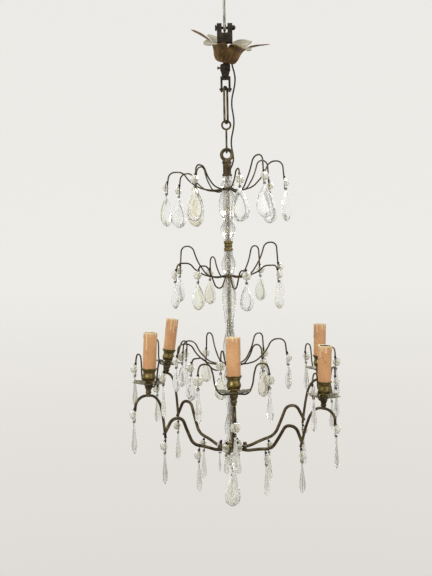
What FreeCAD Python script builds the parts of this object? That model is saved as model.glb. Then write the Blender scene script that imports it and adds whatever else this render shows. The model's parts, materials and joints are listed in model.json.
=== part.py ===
"""Hanging crystal chandelier: wire tiers on a glass column, five candle arms and a short chain.

Millimetres, +Z up. The origin is the top of the ceiling hook's shank, on the chandelier's axis, and the
front is -Y. Azimuths are in degrees from the front (-Y) towards the right (+X).
"""
import FreeCAD
import Part

import math
import os
import re

import Sketcher

V = FreeCAD.Vector
Turn = FreeCAD.Rotation
Place = FreeCAD.Placement
ORIGIN = V(0, 0, 0)
OUT = V(1, 0, 0)
BACK = V(0, 1, 0)
UP = V(0, 0, 1)
DOWN = V(0, 0, -1)

# Driving sizes: alias, value in millimetres or degrees, meaning. Depths are measured down from the origin.
SIZES = [
    ("gap", 0.3, "seat gap between two pieces that rest on each other"),
    ("fit", 0.1, "radial gap of a shaft in its hole"),
    ("hook_wire", 2.5, "radius of the ceiling hook's wire"),
    ("shank_length", 38.0, "straight shank of the ceiling hook"),
    ("bolt_radius", 2.5, "cross bolt of the shackle"),
    ("bolt_depth", 60.0, "depth of the shackle's cross bolt"),
    ("cheek_gap", 11.0, "space between the shackle's cheeks"),
    ("cheek_width", 9.0, "each cheek of the shackle, left to right"),
    ("cheek_depth", 10.0, "shackle, front to back"),
    ("cheek_drop", 10.5, "cheeks below the bolt"),
    ("cheek_rise", 7.0, "cheeks above the bolt"),
    ("block_height", 18.0, "solid block under the cheeks"),
    ("stem_radius", 4.0, "stem from the shackle down to the stirrup"),
    ("canopy_depth", 130.0, "depth of the collar's top, on which the canopy rests"),
    ("canopy_tilt", 23.0, "tilt of the hanging canopy, its left and back up"),
    ("canopy_turn", 31.0, "axis of that tilt, from the right towards the back"),
    ("canopy_floor", 17.0, "radius of the canopy's floor"),
    ("canopy_hole", 6.5, "radius of the canopy's hole for the stem"),
    ("petal_reach", 78.0, "petal tips from the axis"),
    ("petal_rise", 48.0, "petal tips above the canopy's floor"),
    ("petal_sheet", 1.6, "thickness of the canopy's sheet"),
    ("collar_radius", 9.5, "collar under the canopy"),
    ("collar_height", 11.0, "collar under the canopy"),
    ("neck_height", 12.0, "stirrup's neck"),
    ("leg_height", 27.0, "stirrup's legs"),
    ("leg_width", 4.0, "stirrup's legs, left to right"),
    ("leg_depth", 6.0, "stirrup's legs, front to back"),
    ("leg_spread", 7.5, "centre of each leg from the axis"),
    ("pin_radius", 2.2, "stirrup's cross pin"),
    ("link_wire", 2.1, "radius of the long link's wire"),
    ("link_height", 68.0, "long link, end to end of its centre line"),
    ("link_half_width", 6.2, "long link, centre line from its middle"),
    ("link_turn", 30.0, "how far the link's plane is turned about the axis"),
    ("eye_radius", 8.0, "eye of the eye hook, centre line"),
    ("eye_wire", 1.8, "radius of the eye hook's wire"),
    ("loop_radius", 9.8, "stem loop, centre line"),
    ("loop_wire", 3.2, "radius of the stem loop's wire"),
    ("hook_length", 46.0, "from the eye's centre to the stem loop's top, centre to centre"),
    ("socket_height", 30.5, "socket under the stem loop"),
    ("stem_socket_radius", 9.2, "socket under the stem loop"),
    ("rod_radius", 4.0, "hollow rod through the column"),
    ("rod_bore", 2.6, "bore of the rod, which carries the wires"),
    ("cup_height", 22.0, "glass cup over the top tier"),
    ("plate_radius", 12.0, "each tier's plate"),
    ("plate_height", 4.0, "each tier's plate"),
    ("tier_spacing", 163.5, "from one tier's plate to the next"),
    ("ferrule_height", 18.0, "brass ferrule between the glass pieces"),
    ("upper_glass_height", 95.0, "upper baluster"),
    ("last_glass_height", 145.8, "baluster above the arm hub"),
    ("tier_wire", 1.4, "radius of the tiers' wires"),
    ("hub_radius", 17.0, "arm hub"),
    ("hub_height", 22.0, "arm hub"),
    ("arm_wire", 2.9, "radius of the arms' wire"),
    ("scroll_wire", 2.4, "radius of each arm's outer scroll"),
    ("arm_reach", 174.0, "candle from the axis"),
    ("arm_rise", 104.4, "candle foot above the arm's root"),
    ("screw_reach", 27.0, "clamp screw on each arm, from the axis"),
    ("screw_radius", 3.6, "clamp screw's head"),
    ("screw_height", 5.0, "clamp screw's head above the arm's wire"),
    ("hanger_reach", 20.5, "hub's wire pegs from the axis"),
    ("hanger_depth", 3.0, "top of those pegs below the hub's top"),
    ("foot_height", 17.0, "turned foot under the candle"),
    ("nipple_radius", 4.0, "tube that clamps pan and cup"),
    ("washer_height", 2.0, "ring that carries the side wires"),
    ("side_wire", 1.4, "radius of the side wires"),
    ("side_reach", 58.0, "ends of the side wires from the candle"),
    ("pan_radius", 31.0, "leaf tips of the drip pan"),
    ("pan_sheet", 1.2, "drip pan's sheet"),
    ("holder_cup_height", 27.0, "candle cup"),
    ("holder_cup_radius", 12.0, "candle cup's belly"),
    ("holder_cup_floor", 4.0, "candle cup's floor"),
    ("sleeve_seat", 4.0, "how deep the sleeve stands in the cup"),
    ("sleeve_radius", 12.0, "candle sleeve, outside"),
    ("sleeve_wall", 1.2, "candle sleeve's wall"),
    ("sleeve_height", 66.0, "candle sleeve"),
    ("holder_radius", 9.6, "lampholder, outside"),
    ("holder_recess", 9.0, "lampholder's mouth below the sleeve's top"),
    ("lamp_radius", 7.0, "lampholder's socket for an E14 lamp"),
    ("lamp_length", 24.0, "depth of the lampholder's socket"),
    ("peg_radius", 0.75, "upright wire pegs at the wires' ends"),
    ("peg_arm", 0.62, "radius of the short pegs that carry rosettes and drops"),
    ("peg_drop", 17.0, "drop's hole below a wire's end"),
    ("rosette_radius", 8.5, "rosette, centre to point"),
    ("rosette_depth", 6.0, "rosette, front to back"),
    ("rosette_drop", 4.0, "rosette's centre below a wire's end"),
    ("drop_neck", 2.6, "drop's top above the middle of its hole"),
    ("ball_radius", 14.0, "finial ball"),
    ("finial_peg", 11.6, "finial drop's hole below the ball"),
    ("cable_wire", 1.6, "radius of the supply cable"),
    ("cable_hole", 2.8, "radius of the cable's hole in the canopy"),
]

# The tiers, top first: their drops (width, height, thickness), and how each wire has been bent. A dip is how
# far a wire first sags below its plate.
TIERS = [
    {"drop": (34.0, 64.0, 7.0),
     "azimuths": (-144, -119, -92, -36, 12, 40, 88, 124),
     "reaches": (104, 106, 113, 98, 94, 98, 107, 100),
     "rises": (56, 38, 34, 34, 24, 51, 51, 62),
     "dips": (0, 0, 0, 0, 0, 8, 0, 0)},
    {"drop": (25.0, 52.0, 6.5),
     "azimuths": (-156, -116, -78, -40, 18, 64, 95, 137),
     "reaches": (88, 104, 100, 86, 92, 98, 94, 92),
     "rises": (40, 60, 25, 18, 8, 18, 63, 60),
     "dips": (0, 0, 0, 22, 24, 0, 0, 0)},
    {"drop": (22.0, 48.0, 6.0),
     "azimuths": (-150, -116, -84, -46, -12, 34, 86, 133),
     "reaches": (92, 102, 100, 98, 90, 98, 106, 92),
     "rises": (53, 40, 38, 16, 30, 40, 45, 52),
     "dips": (0, 0, 0, 10, 0, 0, 0, 0)},
]
# Shape of a tier's wire: share of its reach, of its rise and of its dip.
TIER_WIRE_SHAPE = [(0.25, -0.05, -1.0), (0.45, 0.06, -1.0), (0.64, 0.5, 0.0), (0.74, 1.0, 0.0), (0.97, 1.0, 0.0),
                   (1.0, 0.3, 0.0)]
# How far crystals turn from facing the front or the back towards their wire's azimuth.
FACING = 0.6
# How the five arms stand: azimuth, extra reach and rise, tilt about the root (outer end up), and the candle's
# lean outwards and sideways.
ARMS = [
    {"azimuth": 0.5, "out": 0.0, "up": 0.0, "tilt": 2.2, "lean": 0.0, "sway": 0.0},
    {"azimuth": 61.0, "out": -2.0, "up": 0.0, "tilt": -6.0, "lean": -3.4, "sway": 0.0},
    {"azimuth": 111.5, "out": 18.0, "up": 10.0, "tilt": 0.6, "lean": 2.5, "sway": 0.0},
    {"azimuth": -125.7, "out": -9.0, "up": 17.7, "tilt": 3.6, "lean": -0.2, "sway": 7.0},
    {"azimuth": -59.0, "out": 4.0, "up": 0.0, "tilt": 4.0, "lean": 1.4, "sway": -1.5},
]
# Where the hub's own crystals hang, between the arms, and their drops.
HANGERS = (-92, -30, 31, 150, -164)
HUB_DROP = (12.0, 38.0, 5.0)
# Shapes of an arm, as shares of the candle's distance and of the arm's rise.
ARM_SHAPE = [(0.19, 0.0), (0.32, 0.072), (0.471, 0.126), (0.557, 0.405), (0.609, 0.595), (0.724, 0.595), (0.81, 0.324)]
SCROLL_SHAPE = [(0.79, 0.27), (0.828, 0.631), (0.868, 0.87), (0.937, 1.0), (1.06, 1.0), (1.13, 0.9),
                (1.135, 0.74)]
# Shape of a side wire: share of its reach, and height above the scroll.
SIDE_SHAPE = [(0.41, 17.0), (0.54, 34.0), (0.57, 50.0), (0.66, 67.0), (0.93, 67.0), (1.0, 56.0), (1.0, 44.0)]
ARM_DROP = (13.0, 58.0, 6.0)
FINIAL_DROP = (30.0, 62.0, 8.0)
PETALS = 6
PAN_LEAVES = 6
# Supply cable, from inside the canopy down behind the chain to the stem's socket.
CABLE_ROUTE = [
    (11.3, 0.3, -93.0), (10.9, 0.0, -106.5), (11.5, 0.0, -120.0), (13.4, 0.0, -133.0), (17.6, 0.6, -146.5),
    (18.4, 3.0, -161.0), (15.4, 6.6, -175.5), (11.6, 8.6, -190.5), (11.0, 8.2, -206.0), (13.6, 7.0, -221.0),
    (15.2, 7.6, -236.0), (13.2, 9.6, -250.5), (9.8, 11.8, -264.0), (9.0, 13.2, -278.5),
    (11.8, 13.6, -292.5), (13.2, 12.0, -305.0), (10.8, 8.6, -316.0), (6.0, 4.3, -326.0),
]
CABLE_CUTS = (7, 11)  # the runs of the route in whose middle one stretch ends and the next begins

doc = FreeCAD.newDocument("chandelier")
sheet = doc.addObject("Spreadsheet::Sheet", "Sizes")
for row, (alias, value, meaning) in enumerate(SIZES, start=1):
    sheet.set(f"A{row}", alias)
    sheet.set(f"B{row}", str(value))
    sheet.set(f"C{row}", meaning)
    sheet.setAlias(f"B{row}", alias)
doc.recompute()

NODES = {}


def size(alias):
    return float(sheet.get(alias))


def bound(expression):
    """An expression in the sheet's own names, as the document reads it."""
    return re.sub(r"[a-z_]\w*", lambda word: "Sizes." + word.group(), str(expression))


def value_of(expression):
    result = sheet.evalExpression(bound(expression))
    return float(getattr(result, "Value", result))


# Depths below the origin that several pieces share, as expressions of the sheet's sizes.
BLOCK_TOP = "bolt_depth+cheek_drop"
NECK_TOP = "canopy_depth+collar_height+gap"
PIN_DEPTH = f"{NECK_TOP}+neck_height+leg_height-4.5"
LINK_TOP = f"{PIN_DEPTH}-pin_radius-gap-link_wire"
LINK_BOTTOM = f"{LINK_TOP}+link_height"
EYE_DEPTH = f"{LINK_BOTTOM}-link_wire-gap-eye_wire+eye_radius"
LOOP_TOP = f"{EYE_DEPTH}+hook_length"
LOOP_DEPTH = f"{LOOP_TOP}+loop_radius"
SOCKET_TOP = f"{LOOP_DEPTH}+loop_radius"
SOCKET_BOTTOM = f"{SOCKET_TOP}+socket_height"
CUP_BOTTOM = f"{SOCKET_BOTTOM}+gap+cup_height"
TIER_BOTTOMS = [f"{CUP_BOTTOM}+gap+plate_height+{k}*tier_spacing" for k in range(3)]
UPPER_GLASS_BOTTOM = f"{TIER_BOTTOMS[0]}+gap+upper_glass_height"
FERRULE_BOTTOM = f"{UPPER_GLASS_BOTTOM}+gap+ferrule_height"
MIDDLE_GLASS_HEIGHT = "(tier_spacing-plate_height-upper_glass_height-ferrule_height-4*gap)"
LOWER_GLASS_HEIGHT = "(tier_spacing-plate_height-2*gap)"
HUB_TOP = f"{TIER_BOTTOMS[2]}+last_glass_height+2*gap"
HUB_BOTTOM = f"{HUB_TOP}+hub_height"
BALL_BOTTOM = f"{HUB_BOTTOM}+gap+2*ball_radius"
BALL_BORE = 14.0


def keep(node, thing):
    """Names a finished sub-part: its label is its node's name."""
    thing.Label = node
    NODES[node] = thing
    return thing


def feature(node, shape):
    """A sub-part whose outline is bent or cut in a way that no primitive has."""
    thing = doc.addObject("Part::Feature", node)
    thing.Shape = shape
    return keep(node, thing)


def primitive(kind, name, **expressions):
    """A Part primitive whose properties follow the sheet; x, y and z place its corner or its centre."""
    thing = doc.addObject(f"Part::{kind}", name)
    for prop, expression in expressions.items():
        target = f"Placement.Base.{prop}" if prop in ("x", "y", "z") else prop
        thing.setExpression(target, bound(expression))
    return thing


def lying(thing, axis):
    """Turns a cylinder from standing to lying along an axis."""
    base = thing.Placement.Base
    thing.Placement = Place(base, Turn(UP, axis))
    return thing


def fused(name, *pieces):
    thing = doc.addObject("Part::MultiFuse", name)
    thing.Shapes = list(pieces)
    return thing


def bored(name, base, tool):
    thing = doc.addObject("Part::Cut", name)
    thing.Base = base
    thing.Tool = tool
    return thing


def turned(node, outline, depth=None):
    """A lathe-turned body: (radius, height above its own bottom) all round, at a depth below the origin."""
    body = doc.addObject("PartDesign::Body", node)
    sketch = body.newObject("Sketcher::SketchObject", f"{node}_outline")
    plane = [f for f in body.Origin.OriginFeatures if f.Role == "XZ_Plane"][0]
    sketch.AttachmentSupport = [(plane, "")]
    sketch.MapMode = "FlatFace"
    points = [V(value_of(radius), value_of(height), 0) for radius, height in outline]
    count = len(points)
    for k in range(count):
        sketch.addGeometry(Part.LineSegment(points[k], points[(k + 1) % count]), False)
    for k in range(count):
        sketch.addConstraint(Sketcher.Constraint("Coincident", k, 2, (k + 1) % count, 1))
    for k, (radius, height) in enumerate(outline):
        for kind, text, now, axis in (("DistanceX", radius, points[k].x, -2),
                                      ("DistanceY", height, points[k].y, -1)):
            if abs(now) < 1e-9:
                sketch.addConstraint(Sketcher.Constraint("PointOnObject", k, 1, axis))
            else:
                index = sketch.addConstraint(Sketcher.Constraint(kind, -1, 1, k, 1, now))
                sketch.setExpression(f"Constraints[{index}]", bound(text))
    turn = body.newObject("PartDesign::Revolution", f"{node}_turn")
    turn.Profile = sketch
    turn.ReferenceAxis = (sketch, ["V_Axis"])
    turn.Angle = 360.0
    if depth is None:
        return body
    body.setExpression("Placement.Base.z", bound(f"-({depth})"))
    return keep(node, body)


def smooth_path(points):
    """Straight runs joined by tangent arcs, each as large as its two runs allow."""
    edges, radii = [], []
    start = points[0]
    for before, here, after in zip(points, points[1:], points[2:]):
        inward, outward = here - before, after - here
        half_turn = inward.getAngle(outward) / 2
        trim = 0.45 * min(inward.Length, outward.Length)
        radius = trim / math.tan(half_turn)
        enter = here - inward * (trim / inward.Length)
        leave = here + outward * (trim / outward.Length)
        towards = (enter + leave) * 0.5 - here
        middle = here + towards * (radius * (1 / math.cos(half_turn) - 1) / towards.Length)
        edges.append(Part.LineSegment(start, enter).toShape())
        edges.append(Part.Arc(enter, middle, leave).toShape())
        radii.append(radius)
        start = leave
    edges.append(Part.LineSegment(start, points[-1]).toShape())
    return Part.Wire(edges), radii


def tube(points, radius):
    """A round wire bent along the points, with its centre line and the radii of its bends."""
    points = [V(*p) for p in points]
    path, radii = smooth_path(points)
    ring = Part.Wire([Part.makeCircle(radius, points[0], points[1] - points[0])])
    return path.makePipeShell([ring], True, False), path, radii


def bent_wire(points, radius):
    return tube(points, radius)[0]


def round_bar(start, end, radius):
    return Part.makeCylinder(radius, (end - start).Length, start, end - start)


def washer(inner, outer, height, level):
    """A flat ring round the axis, its bottom at a level."""
    disc = Part.makeCylinder(outer, height, V(0, 0, level))
    return disc.cut(Part.makeCylinder(inner, height, V(0, 0, level)))


def revolved(outline):
    """A turned shape for pieces that are then cut to leaves: (radius, height) all round."""
    points = [V(radius, 0, height) for radius, height in outline]
    face = Part.Face(Part.makePolygon(points + points[:1]))
    return face.revolve(ORIGIN, UP, 360)


def leaves(count, root, tip, level, height):
    """An upright prism whose plan is a ring of pointed leaves, the first one along +X."""
    steps = 6
    plan = []
    for k in range(count * steps):
        share = abs(math.cos(math.pi * (k % steps) / steps))
        reach = root + (tip - root) * share ** 1.5
        angle = 2 * math.pi * k / (count * steps)
        plan.append(V(reach * math.cos(angle), reach * math.sin(angle), level))
    return Part.Face(Part.makePolygon(plan + plan[:1])).extrude(V(0, 0, height))


def around(azimuth):
    """Turns a shape made with outwards along +X to an azimuth."""
    return Place(ORIGIN, Turn(UP, azimuth - 90.0))


def moved(shape, placement):
    copy = shape.copy()
    copy.Placement = placement.multiply(copy.Placement)
    return copy


def rosette():
    """An octagonal bead, flat side outwards (+X), its back at the origin, bored for its peg."""
    radius, depth = size("rosette_radius"), size("rosette_depth")
    rings = []
    for x, share in ((0.0, 0.62), (0.38, 1.0), (0.62, 1.0), (1.0, 0.5)):
        corners = [V(x * depth, share * radius * math.sin(math.pi / 8 + math.pi * k / 4),
                     share * radius * math.cos(math.pi / 8 + math.pi * k / 4)) for k in range(8)]
        rings.append(Part.makePolygon(corners + corners[:1]))
    bead = Part.makeLoft(rings, True, True)
    return bead.cut(Part.makeCylinder(size("peg_arm") + size("fit"), depth * 0.6, ORIGIN, OUT))


def pendant(width, height, thickness):
    """A cut glass drop, flat side outwards (+X), hanging from the middle of its hole, which is the origin."""
    neck = size("drop_neck")
    hole = size("peg_arm") + size("gap")
    outline = ((0.0, 0.16), (0.10, 0.22), (0.36, 0.66), (0.62, 1.0), (0.84, 0.82), (1.0, 0.16))
    sections = []
    for x, share in ((-0.5, 0.55), (0.0, 1.0), (0.5, 0.55)):
        side = [V(x * thickness, -0.5 * width * across * share,
                  neck - height * (0.5 + (down - 0.5) * (0.5 + 0.5 * share))) for down, across in outline]
        other = [V(p.x, -p.y, p.z) for p in reversed(side)]
        sections.append(Part.makePolygon(side + other + side[:1]))
    glass = Part.makeLoft(sections, True, True)
    eye = Part.makeCylinder(neck, 0.6 * thickness, V(-0.3 * thickness, 0, 0), OUT)
    bore = Part.makeCylinder(hole, 2 * thickness, V(-thickness, 0, 0), OUT)
    return glass.fuse(eye).cut(bore)


def hung(end, azimuth, drop, wire, lower=0.0):
    """What hangs from a wire's end: its pegs, the rosette and the drop, facing an azimuth.

    The peg goes straight down. A short peg carries the rosette and one at its foot carries the drop.
    """
    width, height, thickness = drop
    peg, gap = size("peg_radius"), size("gap")
    place = Place(end, around(azimuth).Rotation)
    bead_level = -size("rosette_drop") - lower
    foot = V(0, 0, -size("peg_drop") - lower)
    bead_back = wire + gap
    drop_back = peg + gap
    drop_middle = drop_back + 0.3 * thickness
    thin = size("peg_arm")
    pegs = round_bar(ORIGIN, foot + DOWN * 1.2, peg).fuse([
        round_bar(V(0, 0, bead_level), V(bead_back + 0.5 * size("rosette_depth"), 0, bead_level), thin),
        round_bar(foot, foot + OUT * (drop_back + 0.6 * thickness + 1.2), thin)])
    glass = moved(pendant(width, height, thickness), Place(foot + OUT * drop_middle, Turn()))
    return {
        "pegs": moved(pegs, place),
        "rosette": moved(moved(rosette(), Place(V(bead_back, 0, bead_level), Turn())), place),
        "drop": moved(glass, place),
        "pivot": place.multVec(foot + OUT * drop_middle),
    }


def ceiling_hook():
    """Straight shank that ends in an open hook under the shackle's bolt."""
    wire, depth = size("hook_wire"), size("bolt_depth")
    sweep = size("bolt_radius") + size("gap") + wire
    points = [(0, 0, 0), (0, 0, -size("shank_length")), (0, sweep, -depth + 8.0), (0, sweep, -depth - sweep),
              (0, -sweep, -depth - sweep), (0, -sweep, -depth + 6.0)]
    feature("ceiling_hook", bent_wire(points, wire))


def shackle():
    """Two cheeks on a block, bored for the cross bolt, on the stem that carries everything below."""
    width = "cheek_gap+2*cheek_width"
    block = primitive("Box", "shackle_block", Length=width, Width="cheek_depth", Height="block_height",
                      x=f"-({width})/2", y="-cheek_depth/2", z=f"-({BLOCK_TOP}+block_height)")
    cheeks = []
    for side, x in (("left", "-(cheek_gap/2+cheek_width)"), ("right", "cheek_gap/2")):
        cheeks.append(primitive("Box", f"shackle_{side}_cheek", Length="cheek_width", Width="cheek_depth",
                                Height="cheek_drop+cheek_rise", x=x, y="-cheek_depth/2",
                                z=f"-({BLOCK_TOP})"))
    stem = primitive("Cylinder", "shackle_stem", Radius="stem_radius",
                     Height=f"{NECK_TOP}+6-({BLOCK_TOP})", z=f"-({NECK_TOP}+6)")
    hole = primitive("Cylinder", "shackle_hole", Radius="bolt_radius+fit", Height=f"{width}+4",
                     x=f"-({width})/2-2", z="-bolt_depth")
    lying(hole, OUT)
    keep("shackle", bored("shackle", fused("shackle_solid", block, *cheeks, stem), hole))


def shackle_bolt():
    """Cross bolt with a round head on the left and a nut on the right."""
    half = "cheek_gap/2+cheek_width"
    shaft = primitive("Cylinder", "bolt_shaft", Radius="bolt_radius", Height=f"2*({half})+7",
                      x=f"-({half})-1", z="-bolt_depth")
    head = primitive("Cylinder", "bolt_head", Radius="bolt_radius+2.6", Height="3.2",
                     x=f"-({half}+gap)-3.2", z="-bolt_depth")
    nut = primitive("Prism", "bolt_nut", Polygon="6", Circumradius="bolt_radius+2.4", Height="4",
                    x=f"{half}+gap", z="-bolt_depth")
    keep("shackle_bolt", fused("shackle_bolt", *(lying(piece, OUT) for piece in (shaft, head, nut))))


def canopy():
    """Flower-shaped canopy: a gadrooned cup under a flaring ring of six petals, tilted as it hangs."""
    floor, sheet_height, reach = size("canopy_floor"), size("petal_sheet"), size("petal_reach")
    rise, hole = size("petal_rise"), size("canopy_hole")
    inside = [(hole, sheet_height), (floor - 0.6, sheet_height), (floor + 5.0, 9.0), (floor + 7.5, 18.0),
              (floor + 14.0, 28.0), (0.62 * reach, 37.0), (0.84 * reach, 43.0), (reach, rise)]
    outside = [(radius + 0.7 * sheet_height, height - sheet_height) for radius, height in inside]
    outside[0] = (hole, 0.0)
    outside[-1] = (reach, rise - sheet_height)
    bowl = revolved(inside + outside[::-1])
    petals = leaves(PETALS, floor + 12.0, reach - 1.0, -1.0, rise + 2.0)
    tilt, turn = size("canopy_tilt"), math.radians(size("canopy_turn"))
    seat = size("collar_radius") * math.sin(math.radians(tilt)) + size("gap")
    shape = moved(bowl.common(petals), Place(V(0, 0, -size("canopy_depth") + seat),
                                             Turn(V(math.cos(turn), math.sin(turn), 0), tilt)))
    before, after = V(*CABLE_ROUTE[2]), V(*CABLE_ROUTE[3])
    cable_hole = round_bar(before * 1.5 - after * 0.5, after * 1.2 - before * 0.2, size("cable_hole"))
    feature("canopy", shape.cut(cable_hole))


def canopy_collar():
    """Collar that holds the canopy up on the stem, with its set screw on the left."""
    ring = primitive("Cylinder", "collar_ring", Radius="collar_radius", Height="collar_height",
                     z="-(canopy_depth+collar_height)")
    screw = primitive("Cylinder", "collar_screw", Radius="1.6", Height="collar_radius-stem_radius+2",
                      x="-(collar_radius+4)", z="-(canopy_depth+collar_height/2)")
    knob = primitive("Cylinder", "collar_screw_head", Radius="2.8", Height="2.4",
                     x="-(collar_radius+5.5)", z="-(canopy_depth+collar_height/2)")
    hole = primitive("Cylinder", "collar_hole", Radius="stem_radius+fit", Height="collar_height+2",
                     z="-(canopy_depth+collar_height+1)")
    solid = fused("collar_solid", ring, lying(screw, OUT), lying(knob, OUT))
    keep("canopy_collar", bored("canopy_collar", solid, hole))


def stirrup():
    """Neck that takes the stem, a bridge and two legs, and the cross pin that the chain hangs on."""
    legs_bottom = f"{NECK_TOP}+neck_height+leg_height"
    neck = primitive("Cone", "stirrup_neck", Radius1="stem_radius+2", Radius2="stem_radius+4.5",
                     Height="neck_height", z=f"-({NECK_TOP}+neck_height)")
    bridge = primitive("Box", "stirrup_bridge", Length="2*leg_spread+leg_width", Width="leg_depth+2",
                       Height="5", x="-(leg_spread+leg_width/2)", y="-(leg_depth+2)/2",
                       z=f"-({NECK_TOP}+neck_height+4)")
    pieces = [neck, bridge]
    for side, x in (("left", "-(leg_spread+leg_width/2)"), ("right", "leg_spread-leg_width/2")):
        pieces.append(primitive("Box", f"stirrup_{side}_leg", Length="leg_width", Width="leg_depth",
                                Height="leg_height", x=x, y="-leg_depth/2", z=f"-({legs_bottom})"))
    pin = primitive("Cylinder", "stirrup_pin", Radius="pin_radius", Height="2*(leg_spread+leg_width)",
                    x="-(leg_spread+leg_width)", z=f"-({PIN_DEPTH})")
    pieces.append(lying(pin, OUT))
    hole = primitive("Cylinder", "stirrup_hole", Radius="stem_radius+fit", Height="8",
                     z=f"-({NECK_TOP}+7)")
    keep("stirrup", bored("stirrup", fused("stirrup_solid", *pieces), hole))


def long_link():
    """A long chain link: two straight sides and two half rings, turned about the axis."""
    half, wire = size("link_half_width"), size("link_wire")
    top, bottom = -value_of(LINK_TOP) - half, -value_of(LINK_BOTTOM) + half
    edges = [Part.LineSegment(V(0, half, bottom), V(0, half, top)).toShape(),
             Part.Arc(V(0, half, top), V(0, 0, top + half), V(0, -half, top)).toShape(),
             Part.LineSegment(V(0, -half, top), V(0, -half, bottom)).toShape(),
             Part.Arc(V(0, -half, bottom), V(0, 0, bottom - half), V(0, half, bottom)).toShape()]
    ring = Part.Wire([Part.makeCircle(wire, V(0, half, bottom), UP)])
    link = Part.Wire(edges).makePipeShell([ring], True, False)
    feature("long_link", moved(link, Place(ORIGIN, Turn(UP, -size("link_turn")))))


def eye_hook():
    """An eye round the long link's end, and a shank that ends in a hook under the stem loop."""
    wire, eye, loop_top = size("eye_wire"), size("eye_radius"), -value_of(LOOP_TOP)
    centre = -value_of(EYE_DEPTH)
    sweep = size("loop_wire") + size("gap") + wire
    start = centre - eye
    ring = Part.makeTorus(eye, wire, V(0, 0, centre), BACK)
    points = [(0, 0, start), (0, 0, start - 9.0), (0, sweep, start - 22.0), (0, sweep, loop_top - sweep),
              (0, -sweep, loop_top - sweep), (0, -sweep, loop_top + 6.0)]
    feature("eye_hook", ring.fuse(bent_wire(points, wire)).removeSplitter())


def stem_loop():
    """Loop on top of a turned socket that takes the rod, with a hole for the cable."""
    ring = Part.makeTorus(size("loop_radius"), size("loop_wire"), V(0, 0, -value_of(LOOP_DEPTH)), BACK)
    radius, height, bottom = size("stem_socket_radius"), size("socket_height"), -value_of(SOCKET_BOTTOM)
    outline = [(0, 0), (radius, 0), (radius, 3.0), (radius - 1.6, 5.0), (radius - 1.6, height - 8.0),
               (radius, height - 5.0), (radius - 1.5, height), (0, height + 1.0)]
    socket = moved(revolved(outline), Place(V(0, 0, bottom), Turn()))
    rod_hole = Part.makeCylinder(size("rod_radius") + size("fit"), 15.0 + size("gap"), V(0, 0, bottom))
    wire_hole = Part.makeCylinder(size("rod_bore"), height - 6.0, V(0, 0, bottom))
    end, before = V(*CABLE_ROUTE[-1]), V(*CABLE_ROUTE[-2])
    cable_hole = round_bar(end + (before - end) * 1.5, end - (before - end) * 0.35,
                           size("cable_wire") + size("gap"))
    feature("stem_loop", ring.fuse(socket).cut([rod_hole, wire_hole, cable_hole]))


def column():
    """Hollow rod, and the glass and brass pieces that it runs through, from the top down."""
    bore = "rod_radius+gap"
    top = f"{SOCKET_BOTTOM}-15"
    bottom = f"{HUB_BOTTOM}+{BALL_BORE - 1.0}"
    turned("stem_rod", [("rod_bore", 0), ("rod_radius", 0), ("rod_radius", f"({bottom})-({top})"),
                        ("rod_bore", f"({bottom})-({top})")], bottom)
    turned("glass_cup", [(bore, 0), (9.0, 0), (13.5, 5.0), (12.0, 11.0), (7.2, 15.0), (9.0, 20.0),
                         (8.2, "cup_height"), (bore, "cup_height")], CUP_BOTTOM)
    tall = "upper_glass_height"
    turned("upper_baluster",
           [(bore, 0), (7.5, 0), (9.0, f"0.07*{tall}"), (14.5, f"0.20*{tall}"), (14.5, f"0.28*{tall}"),
            (8.5, f"0.38*{tall}"), (8.5, f"0.43*{tall}"), (13.5, f"0.52*{tall}"), (17.0, f"0.66*{tall}"),
            (16.0, f"0.82*{tall}"), (10.5, f"0.96*{tall}"), (10.5, tall), (bore, tall)],
           UPPER_GLASS_BOTTOM)
    turned("column_ferrule",
           [(bore, 0), (8.5, 0), (8.5, 4.0), (7.0, 6.0), (7.8, "ferrule_height/2"), (7.0, "ferrule_height-6"),
            (8.5, "ferrule_height-4"), (8.5, "ferrule_height"), (bore, "ferrule_height")], FERRULE_BOTTOM)
    short = MIDDLE_GLASS_HEIGHT
    turned("middle_baluster",
           [(bore, 0), (9.0, 0), (9.0, f"0.08*{short}"), (13.5, f"0.30*{short}"), (13.5, f"0.52*{short}"),
            (8.0, f"0.80*{short}"), (9.5, short), (bore, short)], f"{TIER_BOTTOMS[1]}-plate_height-gap")
    lower = []
    for name, tall, depth in (("lower", LOWER_GLASS_HEIGHT, f"{TIER_BOTTOMS[2]}-plate_height-gap"),
                              ("last", "last_glass_height", f"{HUB_TOP}-gap")):
        glass = turned(f"{name}_baluster_pattern",
                       [(bore, 0), (8.5, 0), (8.5, f"0.03*{tall}"), (13.0, f"0.14*{tall}"),
                        (13.0, f"0.22*{tall}"), (7.5, f"0.34*{tall}"), (7.5, f"0.42*{tall}"),
                        (11.0, f"0.58*{tall}"), (13.5, f"0.74*{tall}"), (12.5, f"0.86*{tall}"),
                        (8.5, f"0.97*{tall}"), (8.5, tall), (bore, tall)])
        lower.append((glass, V(0, 0, -value_of(depth))))
    doc.recompute()
    feature("lower_balusters", Part.makeCompound([moved(glass.Shape, Place(level, Turn()))
                                                  for glass, level in lower]))


def facing(azimuth):
    """The azimuth that crystals at a wire's end face: nearer the front or the back than the wire's own."""
    if abs(azimuth) <= 90:
        return FACING * azimuth
    return math.copysign(180.0 - FACING * (180.0 - abs(azimuth)), azimuth)


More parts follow.
